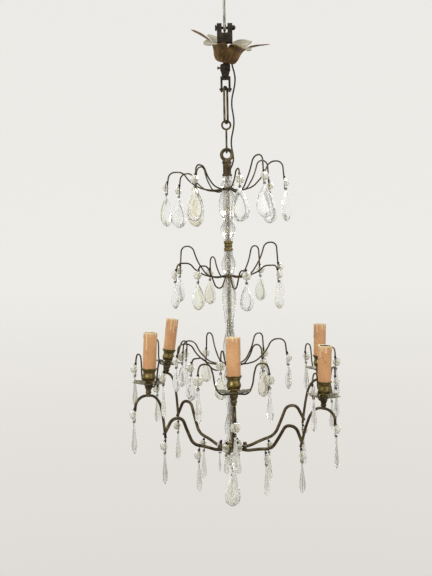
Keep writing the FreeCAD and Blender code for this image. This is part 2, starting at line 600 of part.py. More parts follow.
def tier(number, plan):
    """A plate on the rod with its bent wires and pegs, and what hangs at each wire's end."""
    bottom, wire = -value_of(TIER_BOTTOMS[number - 1]), size("tier_wire")
    height, radius = size("plate_height"), size("plate_radius")
    plate = washer(size("rod_radius") + size("gap"), radius, height, bottom)
    root = V(radius - 3.0, 0, bottom + height / 2)
    metal, rosettes = [], []
    for k, azimuth in enumerate(plan["azimuths"]):
        reach, rise, dip = plan["reaches"][k], plan["rises"][k], plan["dips"][k]
        points = [root] + [V(across * reach, 0, root.z + up * rise + sag * dip)
                           for across, up, sag in TIER_WIRE_SHAPE]
        metal.append(moved(bent_wire(points, wire), around(azimuth)))
        crystal = hung(around(azimuth).multVec(points[-1]), facing(azimuth), plan["drop"], wire)
        metal.append(crystal["pegs"])
        rosettes.append(crystal["rosette"])
        feature(f"tier_{number}_drop_{k + 1}", crystal["drop"])
        print(f"pivot tier_{number}_drop_{k + 1}", [round(c, 3) for c in crystal["pivot"]],
              round(facing(azimuth), 3))
    feature(f"tier_{number}_frame", plate.fuse(metal))
    return rosettes


def arm_root():
    return V(size("hub_radius") + 2 * size("gap"), 0, -value_of(f"{HUB_TOP}+hub_height/2"))


def arm_spans(arm):
    """Reach and rise of one arm, as it has been bent."""
    return size("arm_reach") + arm["out"], size("arm_rise") + arm["up"]


def arm_places(arm):
    """Placement of a whole arm about its root, and of its candle on the scroll's top."""
    root = arm_root()
    tilt = Place(ORIGIN, Turn(BACK, -arm["tilt"]), root)
    whole = around(arm["azimuth"]).multiply(tilt)
    reach, rise = arm_spans(arm)
    top = V(reach, 0, root.z + rise)
    candle = whole.multiply(Place(top, Turn(OUT, arm["sway"]).multiply(Turn(BACK, arm["lean"]))))
    return whole, candle


# Heights above the scroll of what is stacked on an arm's nipple.
def stack():
    washer_at = size("foot_height") + size("gap")
    pan_at = washer_at + size("washer_height") + size("gap")
    cup_at = pan_at + size("pan_sheet") + size("gap")
    holder_at = cup_at + size("holder_cup_floor") + size("gap")
    sleeve_at = cup_at + size("holder_cup_height") - size("sleeve_seat") + size("gap")
    return washer_at, pan_at, cup_at, holder_at, sleeve_at


def arm(number, plan):
    """Inner scroll, outer scroll, turned foot and nipple in one piece, with the pegs for three drops."""
    whole, candle = arm_places(plan)
    root = arm_root()
    reach, rise = arm_spans(plan)
    inner = [root] + [V(across * reach, 0, root.z + up * rise) for across, up in ARM_SHAPE]
    outer = [V(across * reach, 0, root.z + up * rise) for across, up in SCROLL_SHAPE]
    foot_height = size("foot_height")
    foot = revolved([(0, 0), (3.2, 0), (3.4, 3.0), (5.4, 5.5), (4.2, 8.5), (6.6, foot_height - 3.0),
                     (6.6, foot_height), (0, foot_height)])
    nipple_top = stack()[2] + size("holder_cup_floor")
    nipple = Part.makeCylinder(size("nipple_radius"), nipple_top, ORIGIN)
    shape = moved(bent_wire(inner, size("arm_wire")), whole)
    screw_at = V(size("screw_reach"), 0, root.z)
    screw = round_bar(screw_at, screw_at + UP * (size("arm_wire") + size("screw_height")), size("screw_radius"))
    pieces = [moved(bent_wire(outer, size("scroll_wire")), whole), moved(foot.fuse(nipple), candle),
              moved(screw, whole)]
    middle = (inner[2] + inner[3]) * 0.5
    hangers = [(outer[-1], size("scroll_wire"), 0.0), (outer[0], size("scroll_wire"), 9.0),
               (middle, size("arm_wire"), 12.0)]
    crystals = [hung(whole.multVec(end), facing(plan["azimuth"]), ARM_DROP, wire, lower)
                for end, wire, lower in hangers]
    feature(f"arm_{number}", shape.fuse(pieces + [crystal["pegs"] for crystal in crystals]))
    return crystals


def side_wires(plan):
    """The ring under the pan with its two side wires, and what hangs at their ends."""
    _, candle = arm_places(plan)
    wire, reach = size("side_wire"), size("side_reach")
    level, height = stack()[0], size("washer_height")
    ring = washer(size("nipple_radius") + size("gap"), size("nipple_radius") + 4.0, height, level)
    parts, crystals = [], []
    for side in (-1, 1):
        points = [V(0, side * (size("nipple_radius") + 2.0), level + height / 2)]
        points += [V(0, side * across * reach, up) for across, up in SIDE_SHAPE]
        parts.append(moved(bent_wire(points, wire), candle))
        crystal = hung(candle.multVec(points[-1]), facing(plan["azimuth"]), ARM_DROP, wire)
        parts.append(crystal["pegs"])
        crystals.append(crystal)
    return moved(ring, candle).fuse(parts), crystals


def drip_pan():
    """A shallow dish whose edge is cut to leaves."""
    sheet_height, tip, bore = size("pan_sheet"), size("pan_radius"), size("nipple_radius") + size("gap")
    dish = revolved([(bore, 0), (12.0, 0), (tip, 4.0), (tip, 4.0 + sheet_height), (12.0, sheet_height),
                     (bore, sheet_height)])
    return dish.common(leaves(PAN_LEAVES, 0.68 * tip, tip, -1.0, 10.0))


def candles():
    """What stands on the five arms: one pattern of each piece, placed on each arm."""
    belly, top, floor = "holder_cup_radius", "holder_cup_height", "holder_cup_floor"
    seat, inside, bore = "holder_cup_height-sleeve_seat", "sleeve_radius+gap", "nipple_radius+gap"
    cup = turned("candle_cup_pattern",
                 [(bore, 0), (6.0, 0), ("0.8*holder_cup_radius", 3.0), (belly, 8.0), (belly, 13.0),
                  ("sleeve_radius-0.9", 17.0), ("sleeve_radius-0.2", 20.5), ("sleeve_radius+1.4", 22.6),
                  ("sleeve_radius+1.9", f"{top}-1.5"), ("sleeve_radius+1.9", top), (inside, top),
                  (inside, seat), ("holder_radius+gap", seat), ("holder_radius+gap", floor), (bore, floor)])
    sleeve = turned("candle_sleeve_pattern",
                    [("sleeve_radius-sleeve_wall", 0), ("sleeve_radius", 0),
                     ("sleeve_radius", "sleeve_height"), ("sleeve_radius-sleeve_wall", "sleeve_height")])
    tall = "(sleeve_height-holder_recess+holder_cup_height-sleeve_seat-holder_cup_floor)"
    holder = turned("lampholder_pattern",
                    [(0, 0), ("holder_radius", 0), ("holder_radius", tall), ("lamp_radius", tall),
                     ("lamp_radius", f"{tall}-lamp_length"), (0, f"{tall}-lamp_length")])
    doc.recompute()
    _, pan_at, cup_at, holder_at, sleeve_at = stack()
    for node, shape, level in (("drip_pans", drip_pan(), pan_at), ("candle_cups", cup.Shape, cup_at),
                               ("lampholders", holder.Shape, holder_at),
                               ("candle_sleeves", sleeve.Shape, sleeve_at)):
        feature(node, Part.makeCompound([moved(moved(shape, Place(V(0, 0, level), Turn())),
                                               arm_places(plan)[1]) for plan in ARMS]))
    mouth = holder_at + value_of(tall)
    for number, plan in enumerate(ARMS, start=1):
        place = arm_places(plan)[1]
        print(f"lamp socket {number}", [round(c, 4) for c in place.multVec(V(0, 0, mouth - 12.0))],
              [round(c, 5) for c in place.Rotation.multVec(UP)])


def arm_hub():
    """Turned hub on the rod that carries the arms, with the wire pegs of its own crystals."""
    bore, rim, tall = "rod_radius+gap", "hub_radius", "hub_height"
    turn = turned("arm_hub_turn", [(bore, 0), (9.0, 0), ("hub_radius-3", 3.0), (rim, 5.0), (rim, f"{tall}-5"),
                                   ("hub_radius-4", f"{tall}-3"), (9.0, tall), (bore, tall)], HUB_BOTTOM)
    del NODES["arm_hub_turn"]
    top = V(size("hanger_reach"), 0, -value_of(HUB_TOP) - size("hanger_depth"))
    level = V(0, 0, top.z - 5.0)
    crystals, pegs = [], []
    for azimuth in HANGERS:
        crystal = hung(around(azimuth).multVec(top), azimuth, HUB_DROP, size("peg_radius"))
        bar = round_bar(level + OUT * (size("hub_radius") - 3.0), level + OUT * top.x, size("peg_radius"))
        pegs += [crystal["pegs"], moved(bar, around(azimuth))]
        crystals.append(crystal)
    wires = doc.addObject("Part::Feature", "arm_hub_pegs")
    wires.Shape = pegs[0].fuse(pegs[1:])
    keep("arm_hub", fused("arm_hub", turn, wires))
    return crystals


def finial():
    """Glass ball on the rod's end, with the wire peg that the big drop hangs from."""
    radius, bottom, peg = size("ball_radius"), -value_of(BALL_BOTTOM), size("peg_radius")
    thickness, gap = FINIAL_DROP[2], size("gap")
    ball = Part.makeSphere(radius, V(0, 0, bottom + radius))
    bore = Part.makeCylinder(size("rod_radius") + size("fit"), BALL_BORE,
                             V(0, 0, bottom + 2 * radius - BALL_BORE))
    behind = 0.3 * thickness + gap + peg
    below = size("finial_peg")
    foot = V(0, behind, bottom - below)
    pegs = round_bar(foot + UP * (below + radius / 2), foot + DOWN * 1.2, peg).fuse(
        round_bar(foot, foot - BACK * (behind + 0.3 * thickness + 1.2), size("peg_arm")))
    feature("finial_ball", ball.cut(bore).fuse(pegs))
    drop = moved(pendant(*FINIAL_DROP), Place(V(0, 0, foot.z), around(0.0).Rotation))
    feature("finial_drop", drop)
    print("pivot finial_drop", [0.0, 0.0, round(foot.z, 3)], 0)


def supply_cable():
    """The cable in three stretches that meet face to face in the middle of a run."""
    route = [V(*p) for p in CABLE_ROUTE]
    radius = size("cable_wire")
    cuts = [(route[k] + route[k + 1]) * 0.5 for k in CABLE_CUTS]
    ends = (0,) + tuple(k + 1 for k in CABLE_CUTS) + (len(route),)
    names = ("supply_cable_upper", "supply_cable_middle", "supply_cable_lower")
    for number, name in enumerate(names):
        points = route[ends[number]:ends[number + 1]]
        points = cuts[number - 1:number] * (number > 0) + points + cuts[number:number + 1]
        solid, path, radii = tube(points, radius)
        expected = math.pi * radius ** 2 * path.Length
        print(f"{name}: length {path.Length:.1f} mm, tightest bend {min(radii):.1f} mm,",
              f"volume {solid.Volume:.0f} of {expected:.0f} mm3")
        feature(name, solid)


def build():
    ceiling_hook()
    shackle()
    shackle_bolt()
    canopy()
    canopy_collar()
    stirrup()
    long_link()
    eye_hook()
    stem_loop()
    column()
    beads = []
    for number, plan in enumerate(TIERS, start=1):
        beads += tier(number, plan)
    crystals, wires = arm_hub(), []
    for number, plan in enumerate(ARMS, start=1):
        crystals += arm(number, plan)
        shape, hanging = side_wires(plan)
        wires.append(shape)
        crystals += hanging
    feature("side_wires", Part.makeCompound(wires))
    feature("rosettes", Part.makeCompound(beads + [crystal["rosette"] for crystal in crystals]))
    feature("arm_drops", Part.makeCompound([crystal["drop"] for crystal in crystals]))
    candles()
    finial()
    supply_cable()


def check():
    """Stops before anything is written if an object failed or a sub-part has no sound solid."""
    doc.recompute()
    for thing in doc.Objects:
        if "Invalid" in thing.State or "Error" in thing.State:
            raise RuntimeError(f"{thing.Name} failed: {thing.State}")
    for node, thing in NODES.items():
        if thing.Shape.isNull() or not thing.Shape.isValid() or not thing.Shape.Solids:
            raise RuntimeError(f"{node} has no valid solid")


build()
check()
os.makedirs("parts", exist_ok=True)
for node, thing in NODES.items():
    thing.Shape.exportStep(f"parts/{node}.step")
print(len(NODES), "nodes,", sum(len(thing.Shape.Solids) for thing in NODES.values()), "solids")
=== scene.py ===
"""Looks of the crystal chandelier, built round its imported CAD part.

Metres, +Z up, origin at the top of the ceiling hook's shank. Azimuths run from the front (-Y) to the right.
"""

import json
import math

import bmesh
import bpy
import numpy as np
from mathutils import Matrix, Vector, noise

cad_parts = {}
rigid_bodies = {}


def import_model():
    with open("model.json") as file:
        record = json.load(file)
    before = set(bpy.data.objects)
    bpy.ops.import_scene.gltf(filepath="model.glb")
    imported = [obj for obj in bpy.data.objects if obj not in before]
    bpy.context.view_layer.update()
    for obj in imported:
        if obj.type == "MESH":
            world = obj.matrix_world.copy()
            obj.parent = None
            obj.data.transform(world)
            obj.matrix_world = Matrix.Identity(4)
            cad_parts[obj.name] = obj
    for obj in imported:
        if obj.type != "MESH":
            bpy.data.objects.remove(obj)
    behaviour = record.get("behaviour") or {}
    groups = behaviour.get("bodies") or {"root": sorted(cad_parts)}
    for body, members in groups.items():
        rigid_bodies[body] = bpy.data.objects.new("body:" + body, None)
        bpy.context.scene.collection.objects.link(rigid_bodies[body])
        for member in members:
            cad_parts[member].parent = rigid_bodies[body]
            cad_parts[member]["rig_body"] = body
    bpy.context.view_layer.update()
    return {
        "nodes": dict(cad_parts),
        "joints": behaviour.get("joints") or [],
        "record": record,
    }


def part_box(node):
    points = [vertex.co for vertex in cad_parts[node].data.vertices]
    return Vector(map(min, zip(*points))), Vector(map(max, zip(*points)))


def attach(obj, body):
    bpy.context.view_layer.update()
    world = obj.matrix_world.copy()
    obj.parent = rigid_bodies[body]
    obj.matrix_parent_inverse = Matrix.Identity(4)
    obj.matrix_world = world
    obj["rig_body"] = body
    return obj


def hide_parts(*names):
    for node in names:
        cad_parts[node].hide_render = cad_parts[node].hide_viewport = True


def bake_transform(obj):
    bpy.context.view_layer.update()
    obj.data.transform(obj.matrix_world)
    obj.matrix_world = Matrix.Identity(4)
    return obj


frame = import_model()
MM = 0.001
TAU = 2 * math.pi


# ---------------------------------------------------------------- materials

class Shader:
    """A material's node tree, with short names for what the materials below share."""

    def __init__(self, name):
        self.material = bpy.data.materials.new(name)
        self.material.use_nodes = True
        self.tree = self.material.node_tree
        self.bsdf = self.tree.nodes["Principled BSDF"]
        self.place = self.tree.nodes.new("ShaderNodeTexCoord").outputs["Object"]

    def put(self, kind, **values):
        node = self.tree.nodes.new(kind)
        for key, value in values.items():
            setattr(node, key, value)
        return node

    def link(self, start, end):
        self.tree.links.new(start, end)

    def noise(self, scale, detail=4.0, stretch=(1, 1, 1), roughness=0.55):
        mapping = self.put("ShaderNodeMapping")
        mapping.inputs["Scale"].default_value = stretch
        self.link(self.place, mapping.inputs["Vector"])
        node = self.put("ShaderNodeTexNoise")
        node.inputs["Scale"].default_value = scale
        node.inputs["Detail"].default_value = detail
        node.inputs["Roughness"].default_value = roughness
        self.link(mapping.outputs["Vector"], node.inputs["Vector"])
        return node.outputs["Fac"]

    def ramp(self, value, stops):
        node = self.put("ShaderNodeValToRGB")
        while len(node.color_ramp.elements) < len(stops):
            node.color_ramp.elements.new(0.5)
        for element, (position, colour) in zip(node.color_ramp.elements, stops):
            element.position = position
            element.color = (*colour, 1.0)
        self.link(value, node.inputs["Fac"])
        return node.outputs["Color"]

    def span(self, value, low, high):
        node = self.put("ShaderNodeMapRange")
        node.inputs["To Min"].default_value = low
        node.inputs["To Max"].default_value = high
        self.link(value, node.inputs["Value"])
        return node.outputs["Result"]

    def mix(self, factor, a, b):
        node = self.put("ShaderNodeMix", data_type="RGBA")
        for socket, value in ((node.inputs["Factor"], factor), (node.inputs["A"], a), (node.inputs["B"], b)):
            self.feed(socket, value)
        return node.outputs["Result"]

    def feed(self, socket, value):
        if isinstance(value, bpy.types.NodeSocket):
            self.link(value, socket)
        elif isinstance(value, tuple) and len(value) == 3:
            socket.default_value = (*value, 1.0)
        else:
            socket.default_value = value

    def set(self, name, value):
        self.feed(self.bsdf.inputs[name], value)

    def bump(self, height, strength, distance):
        node = self.put("ShaderNodeBump")
        node.inputs["Strength"].default_value = strength
        node.inputs["Distance"].default_value = distance
        self.link(height, node.inputs["Height"])
        self.link(node.outputs["Normal"], self.bsdf.inputs["Normal"])


def metal(name, stops, rough, scale=70.0, bump=0.25):
    """Aged metal: blotches of tarnish, fine grain, and a roughness that follows them."""
    shader = Shader(name)
    blotch = shader.noise(scale, 6.0)
    shader.set("Base Color", shader.ramp(blotch, stops))
    shader.set("Metallic", 0.92)
    shader.set("Roughness", shader.span(shader.noise(scale * 2.3, 3.0), *rough))
    shader.bump(shader.noise(1100.0, 3.0), bump, 0.0004)
    return shader.material


def glass(name, tint, streak, rough=0.02, clear=0.9):
    """Old cut glass: nearly clear, a little milky with dust, with faint streaks of its tint."""
    shader = Shader(name)
    veins = shader.noise(26.0, 3.0, (1.0, 1.0, 0.25))
    shader.set("Base Color", shader.ramp(veins, [(0.35, tint), (0.75, streak)]))
    shader.set("Transmission Weight", clear)
    shader.set("IOR", 1.46)
    shader.set("Roughness", shader.span(shader.noise(160.0, 2.0), rough * 0.4, rough * 2.0))
    shader.bump(shader.noise(210.0, 2.0), 0.05, 0.0006)
    return shader.material


WIRE = metal("aged_brass_wire", [(0.30, (0.030, 0.023, 0.013)), (0.52, (0.085, 0.064, 0.033)),
                                 (0.74, (0.21, 0.165, 0.085))], (0.34, 0.62))
GILT = metal("worn_gilt", [(0.28, (0.055, 0.040, 0.016)), (0.50, (0.175, 0.130, 0.045)),
                           (0.74, (0.36, 0.285, 0.115))], (0.26, 0.50), 95.0)
IRON = metal("dark_iron", [(0.30, (0.018, 0.015, 0.012)), (0.60, (0.050, 0.040, 0.030)),
                           (0.80, (0.12, 0.095, 0.065))], (0.45, 0.75), 120.0, 0.5)
STEEL = metal("dull_steel", [(0.25, (0.15, 0.14, 0.115)), (0.60, (0.33, 0.32, 0.275)),
                             (0.85, (0.50, 0.48, 0.42))], (0.30, 0.50), 60.0)
LEAF = metal("leaf_pan", [(0.25, (0.065, 0.058, 0.034)), (0.55, (0.17, 0.155, 0.092)),
                          (0.80, (0.34, 0.315, 0.21))], (0.34, 0.58), 90.0)
CLEAR = glass("clear_crystal", (0.985, 0.985, 0.968), (0.955, 0.955, 0.915), 0.035)
YELLOW = glass("yellow_crystal", (0.975, 0.975, 0.90), (0.92, 0.93, 0.77), 0.035)
SMOKY = glass("streaked_crystal", (0.97, 0.965, 0.935), (0.90, 0.85, 0.68), 0.035)
STRAW = glass("straw_crystal", (0.975, 0.975, 0.935), (0.94, 0.94, 0.87), 0.06, 0.84)
BEAD = glass("bead_crystal", (0.86, 0.845, 0.75), (0.74, 0.71, 0.57), 0.12, 0.8)


def canopy_material(name, inner):
    shader = Shader(name)
    shader.set("Metallic", 0.25 if inner else 0.8)
    shader.set("Roughness", shader.span(shader.noise(150.0, 3.0), 0.42, 0.68))
    if inner:
        shader.set("Base Color", shader.ramp(shader.noise(55.0, 6.0),
                                             [(0.3, (0.20, 0.175, 0.115)), (0.6, (0.47, 0.43, 0.32)),
                                              (0.8, (0.60, 0.56, 0.44))]))
    else:
        gold = shader.ramp(shader.noise(60.0, 6.0), [(0.3, (0.070, 0.042, 0.020)), (0.55, (0.27, 0.165, 0.062)),
                                                     (0.8, (0.52, 0.36, 0.15))])
        blush = shader.ramp(shader.noise(34.0, 3.0), [(0.54, (0, 0, 0)), (0.72, (1, 1, 1))])
        shader.set("Base Color", shader.mix(blush, gold, (0.20, 0.075, 0.060)))
    shader.bump(shader.noise(420.0, 4.0), 0.35, 0.0006)
    return shader.material


CANOPY_OUT = canopy_material("canopy_outside", False)
CANOPY_IN = canopy_material("canopy_inside", True)


def card_material():
    """Candle sleeve: tan card and wax, paler at the rim and on the drips (the mesh's own 'pale' value)."""
    shader = Shader("tan_card")
    tan = shader.ramp(shader.noise(38.0, 5.0, (1, 1, 0.5)), [(0.3, (0.50, 0.245, 0.105)),
                                                            (0.6, (0.64, 0.345, 0.155)),
                                                            (0.85, (0.72, 0.43, 0.22))])
    speck = shader.ramp(shader.noise(340.0, 2.0), [(0.30, (0.62, 0.55, 0.46)), (0.42, (1, 1, 1))])
    spotted = shader.put("ShaderNodeMix", data_type="RGBA", blend_type="MULTIPLY")
    spotted.inputs["Factor"].default_value = 0.7
    shader.link(tan, spotted.inputs["A"])
    shader.link(speck, spotted.inputs["B"])
    pale = shader.put("ShaderNodeAttribute", attribute_name="pale")
    shader.set("Base Color", shader.mix(pale.outputs["Fac"], spotted.outputs["Result"], (0.86, 0.70, 0.43)))
    shader.set("Roughness", shader.span(shader.noise(90.0, 3.0), 0.42, 0.62))
    shader.set("Subsurface Weight", 0.08)
    shader.bsdf.inputs["Subsurface Radius"].default_value = (0.004, 0.002, 0.001)
    shader.bump(shader.noise(500.0, 3.0), 0.2, 0.0004)
    return shader.material


def plain(name, dark, light, rough):
    """A moulded surface with a little dust; on the sleeves' inside its dark colour is painted shade."""
    shader = Shader(name)
    shader.set("Base Color", shader.ramp(shader.noise(140.0, 5.0), [(0.35, dark), (0.80, light)]))
    shader.set("Roughness", shader.span(shader.noise(200.0, 2.0), *rough))
    shader.bump(shader.noise(900.0, 2.0), 0.12, 0.0003)
    return shader.material


CARD = card_material()
# The inside of the card tube: the card painted near-black brown, as painted shade of the tube's hollow.
SLEEVE_IN_PAINTED_SHADE = plain("sleeve_inside_painted_shade", (0.030, 0.018, 0.010), (0.10, 0.060, 0.032), (0.6, 0.8))
SOCKET = plain("black_socket", (0.010, 0.009, 0.008), (0.045, 0.040, 0.034), (0.35, 0.55))
CABLE = plain("black_cable", (0.008, 0.008, 0.008), (0.040, 0.036, 0.030), (0.40, 0.60))


# ---------------------------------------------------------------- meshes

def piece(name, verts, faces, material, body, nodes=(), angle=None, extra=()):
    """A mesh object in the row frame that rides on a body and stands for CAD nodes."""
    mesh = bpy.data.meshes.new(name)
    mesh.from_pydata([tuple(v) for v in verts], [], faces)
    mesh.materials.append(material)
    for other in extra:
        mesh.materials.append(other)
    mesh.validate()
    if angle is not None:
        mesh.shade_smooth()
        mesh.set_sharp_from_angle(angle=math.radians(angle))
    obj = bpy.data.objects.new(name, mesh)
    bpy.context.scene.collection.objects.link(obj)
    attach(obj, body)
    if nodes:
        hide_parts(*nodes)
    return obj


class Soup:
    """Vertices and faces of several copies, gathered into one mesh."""

    def __init__(self):
        self.verts, self.faces = [], []

    def add(self, shape, matrix):
        verts, faces = shape
        start = len(self.verts)
        self.verts += [matrix @ Vector(v) for v in verts]
        self.faces += [tuple(start + k for k in face) for face in faces]


def lathe(outline, around, flute):
    """A turned shape: outline is (radius, z) in mm, flute(angle, z) scales the radius."""
    verts, faces = [], []
    rows = len(outline)
    for k in range(around):
        angle = TAU * k / around
        for radius, z in outline:
            r = radius * flute(angle, z)
            verts.append((r * math.cos(angle) * MM, r * math.sin(angle) * MM, z * MM))
    for k in range(around):
        a, b = k * rows, ((k + 1) % around) * rows
        for j in range(rows):
            i = (j + 1) % rows
            faces.append((a + j, b + j, b + i, a + i))
    return verts, faces


def smooth_outline(points, steps=5):
    """A rounded outline through the points."""
    out = []
    count = len(points)
    for k in range(count - 1):
        p0, p1 = points[max(k - 1, 0)], points[k]
        p2, p3 = points[k + 1], points[min(k + 2, count - 1)]
        for s in range(steps):
            t = s / steps
            out.append(tuple(0.5 * (2 * p1[i] + (p2[i] - p0[i]) * t
                                    + (2 * p0[i] - 5 * p1[i] + 4 * p2[i] - p3[i]) * t * t
                                    + (3 * p1[i] - p0[i] - 3 * p2[i] + p3[i]) * t ** 3) for i in (0, 1)))
    return out + [points[-1]]


def tube_mesh(points, radius, around=10, closed=False):
    """A round tube of a radius (mm) along points (m)."""
    points = [Vector(p) for p in points]
    count = len(points)
    verts, faces = [], []
    across = None
    for k, point in enumerate(points):
        if closed:
            along = points[(k + 1) % count] - points[k - 1]
        else:
            along = points[min(k + 1, count - 1)] - points[max(k - 1, 0)]
        along.normalize()
        if across is None:
            across = along.orthogonal().normalized()
        across = (across - along * across.dot(along)).normalized()
        other = along.cross(across)
        for j in range(around):
            a = TAU * j / around
            verts.append(point + (across * math.cos(a) + other * math.sin(a)) * radius * MM)
    for k in range(count if closed else count - 1):
        a, b = k * around, ((k + 1) % count) * around
        for j in range(around):
            i = (j + 1) % around
            faces.append((a + j, a + i, b + i, b + j))
    if not closed:
        faces.append(tuple(reversed(range(around))))
        faces.append(tuple(range((count - 1) * around, count * around)))
    return verts, faces


def ring_mesh(radius, wire, around=20, section=8):
    """A wire ring in the local XZ plane, in mm."""
    path = [(radius * MM * math.cos(TAU * k / around), 0, radius * MM * math.sin(TAU * k / around))
            for k in range(around)]
    return tube_mesh(path, wire, section, True)


def wire_knot(radius=1.7, pitch=1.5, wire=0.7):
    """A wire's end wound round itself: two and a half close turns about the local Z axis."""
    path = []
    for k in range(31):
        a = TAU * k / 12
        path.append((radius * MM * math.cos(a), radius * MM * math.sin(a), (a / TAU - 1.25) * pitch * MM))
    return tube_mesh(path, wire, 7)


def cut_drop(width, height, thickness, outline, top):
    """A flat pear-shaped drop with two rows of cut facets and a table on each side.

    It hangs from the origin: local X is outwards, Y across, Z up; top is where the glass starts.
    """
    half = [(across * width / 2, top - down * height) for down, across in outline]
    girdle = half + [(-y, z) for y, z in reversed(half)]
    count = len(girdle)
    middle = (0.0, top - 0.60 * height)

    def shrink(y, z, share):
        return (y * share, middle[1] + (z - middle[1]) * (0.25 + 0.75 * share))

    verts = [(0.0, y, z) for y, z in girdle]
    faces = []
    for side in (1, -1):
        start = len(verts)
        for k in range(count):
            (y0, z0), (y1, z1) = girdle[k], girdle[(k + 1) % count]
            y, z = shrink((y0 + y1) / 2, (z0 + z1) / 2, 0.86)
            verts.append((side * 0.30 * thickness, y, z))
        table = len(verts)
        for k in range(count):
            y, z = shrink(*girdle[k], 0.56)
            verts.append((side * 0.5 * thickness, y, z))
        for k in range(count):
            n = (k + 1) % count
            rows = [(k, n, start + k), (start + k, n, start + n), (start + k, start + n, table + n),
                    (start + k, table + n, table + k)]
            faces += [row if side > 0 else tuple(reversed(row)) for row in rows]
        cap = tuple(table + k for k in range(count))
        faces.append(cap if side > 0 else tuple(reversed(cap)))
    return [tuple(c * MM for c in v) for v in verts], faces


def spear(width, height, thickness, top, sides=8):
    """A slender drop: a faceted prism that widens towards its foot and ends in a point."""
    rows = [(0.0, 0.20), (0.035, 0.34), (0.09, 0.30), (0.40, 0.62), (0.72, 1.0), (0.88, 0.86), (1.0, 0.04)]
    verts, faces = [], []
    for down, share in rows:
        for k in range(sides):
            a = TAU * (k + 0.5) / sides
            verts.append((thickness / 2 * max(share, 0.35 if 0 < down < 1 else share) * math.cos(a) * MM,
                          width / 2 * share * math.sin(a) * MM, (top - down * height) * MM))
    for j in range(len(rows) - 1):
        for k in range(sides):
            n = (k + 1) % sides
            faces.append((j * sides + k, (j + 1) * sides + k, (j + 1) * sides + n, j * sides + n))
    faces.append(tuple(range(sides)))
    faces.append(tuple(reversed(range((len(rows) - 1) * sides, len(rows) * sides))))
    return verts, faces


def star_bead(radius, depth, points=8):
    """A rosette: a scalloped, star-cut button, flat side outwards (+X), its back at x = 0."""
    rings = [(0.10, 0.62, 0.5, 0.0), (0.42, 1.0, 0.0, 0.16), (0.60, 0.97, 0.0, 0.16), (0.86, 0.62, 0.5, 0.0),
             (1.0, 0.30, 0.0, 0.0)]
    verts, faces = [], []
    count = points * 2
    for x, share, turn, scallop in rings:
        for k in range(count):
            a = TAU * (k + turn) / count
            r = radius * share * (1 - (scallop if k % 2 else 0))
            verts.append((x * depth * MM, r * math.sin(a) * MM, r * math.cos(a) * MM))
    for j in range(len(rings) - 1):
        for k in range(count):
            n = (k + 1) % count
            a, b, c, d = j * count + k, j * count + n, (j + 1) * count + n, (j + 1) * count + k
            faces += [(a, b, c), (a, c, d)] if (k + j) % 2 else [(a, b, d), (b, c, d)]
    faces.append(tuple(reversed(range(count))))
    faces.append(tuple(range((len(rings) - 1) * count, len(rings) * count)))
    return verts, faces


def outwards(azimuth):
    """The level direction away from the column at an azimuth."""
    return Vector((math.sin(azimuth), -math.cos(azimuth), 0))


def axes(out, up, place):
    """Local X along out, local Z along up, moved to a place."""
    side = up.cross(out)
    matrix = Matrix.Identity(4)
    for k in range(3):
        matrix[k][0], matrix[k][1], matrix[k][2], matrix[k][3] = out[k], side[k], up[k], place[k]
    return matrix


def facing(azimuth, place):
    """Local X outwards at an azimuth, local Z up, moved to a place."""
    return axes(outwards(azimuth), Vector((0, 0, 1)), place)


def standing(place, up, azimuth):
    """Local Z along a candle, local X towards its outer side."""
    out = outwards(azimuth)
    return axes((out - up * out.dot(up)).normalized(), up, place)


def islands(node):
    """(middle, low, high, azimuth that it faces) of each separate solid in a CAD node."""
    mesh = bmesh.new()
    mesh.from_mesh(frame["nodes"][node].data)
    bmesh.ops.remove_doubles(mesh, verts=mesh.verts, dist=2e-6)
    seen, found = set(), []
    for first in mesh.verts:
        if first in seen:
            continue
        group, todo = [], [first]
        seen.add(first)
        while todo:
            vert = todo.pop()
            group.append(vert.co.copy())
            for edge in vert.link_edges:
                other = edge.other_vert(vert)
                if other not in seen:
                    seen.add(other)
                    todo.append(other)
        low = Vector([min(c[k] for c in group) for k in range(3)])
        high = Vector([max(c[k] for c in group) for k in range(3)])
        found.append(((low + high) / 2, low, high, thin_way(group)))
    mesh.free()
    return sorted(found, key=lambda item: tuple(round(c, 4) for c in item[0]))


def thin_way(points):
    """The azimuth that a flat, upright solid faces, outwards from the column."""
    flat = np.array([(p.x, p.y) for p in points])
    middle = flat.mean(axis=0)
    _, ways = np.linalg.eigh(np.cov((flat - middle).T))
    x, y = ways[:, 0] if ways[:, 0] @ middle >= 0 else -ways[:, 0]
    return math.atan2(x, -y)


def dress(node, material, bevel=None):
    """A CAD node keeps its shape and takes a material, with softened edges where it is machined."""
    obj = frame["nodes"][node]
    obj.data.materials.clear()
    obj.data.materials.append(material)
    if bevel:
        soft = obj.modifiers.new("edges", "BEVEL")
        soft.width = bevel * MM
        soft.segments = 2
        soft.limit_method = "ANGLE"
        soft.angle_limit = math.radians(35)


# ---------------------------------------------------------------- metalwork that keeps its CAD shape

for node in ("tier_1_frame", "tier_2_frame", "tier_3_frame", "side_wires", "long_link", "eye_hook", "stem_loop",
             "arm_1", "arm_2", "arm_3", "arm_4", "arm_5"):
    dress(node, WIRE)
dress("ceiling_hook", STEEL)
dress("stem_rod", GILT)
dress("shackle", IRON, 0.9)
dress("shackle_bolt", IRON, 0.4)
dress("stirrup", IRON, 0.7)
dress("canopy_collar", IRON, 0.6)
dress("lampholders", SOCKET, 0.5)
dress("arm_hub", GILT, 0.6)
dress("column_ferrule", GILT, 0.4)

# ---------------------------------------------------------------- candles

# Heights above a candle's foot, in mm.
SOCKET_MIDDLE = 89.4
STACK = {"pan": 19.6, "cup": 21.1, "sleeve": 44.4}
CANDLES = []
for mount in frame["record"]["mounts"]:
    if not mount["name"].startswith("lamp_socket"):
        continue
    up = Vector(mount["axis"]).normalized()
    foot = Vector(mount["pos_m"]) - up * SOCKET_MIDDLE * MM
    CANDLES.append(standing(foot, up, math.atan2(foot.x, -foot.y)))


